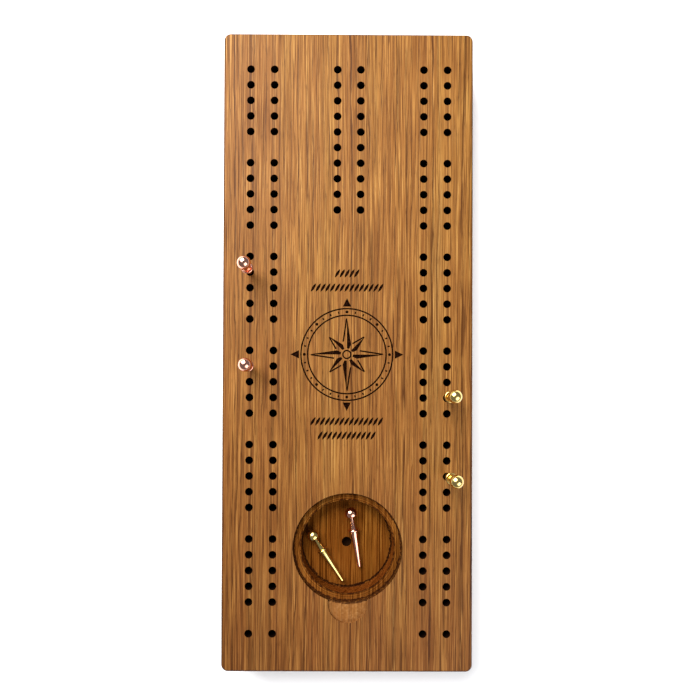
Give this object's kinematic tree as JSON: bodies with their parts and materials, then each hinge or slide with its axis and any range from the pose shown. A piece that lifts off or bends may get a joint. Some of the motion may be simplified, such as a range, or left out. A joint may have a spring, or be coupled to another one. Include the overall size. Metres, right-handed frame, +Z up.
{
  "type": "cribbage board",
  "caption": "Flat oak cribbage board with drilled peg tracks, a round storage pocket with a lid seat, an engraved ornament and turned metal pegs.",
  "frame": {"origin": "middle of the board's underside", "axes": "+Z up out of the playing face, +Y along the board away from the storage pocket, +X to the right"},
  "size_m": [0.1016, 0.259, 0.0353],
  "materials": {
    "oak": "oiled oak, straight grain along the board",
    "copper": "polished copper plate on a turned metal peg",
    "brass": "polished brass, turned"
  },
  "bodies": {
    "board": {"board": "oak"},
    "copper_peg_front": {"copper_peg_front": "copper"},
    "copper_peg_back": {"copper_peg_back": "copper"},
    "copper_peg_spare": {"copper_peg_spare": "copper"},
    "brass_peg_front": {"brass_peg_front": "brass"},
    "brass_peg_back": {"brass_peg_back": "brass"},
    "brass_peg_spare": {"brass_peg_spare": "brass"}
  },
  "joints": [
    {"name": "copper_front_lift", "type": "slide", "parent": "board", "child": "copper_peg_front", "axis": [0, 0, 1], "range_m": [0, 0.025]},
    {"name": "copper_back_lift", "type": "slide", "parent": "board", "child": "copper_peg_back", "axis": [0, 0, 1], "range_m": [0, 0.025]},
    {"name": "copper_spare_lift", "type": "slide", "parent": "board", "child": "copper_peg_spare", "axis": [0, 0, 1], "range_m": [0, 0.03]},
    {"name": "brass_front_lift", "type": "slide", "parent": "board", "child": "brass_peg_front", "axis": [0, 0, 1], "range_m": [0, 0.025]},
    {"name": "brass_back_lift", "type": "slide", "parent": "board", "child": "brass_peg_back", "axis": [0, 0, 1], "range_m": [0, 0.025]},
    {"name": "brass_spare_lift", "type": "slide", "parent": "board", "child": "brass_peg_spare", "axis": [0, 0, 1], "range_m": [0, 0.03]}
  ]
}
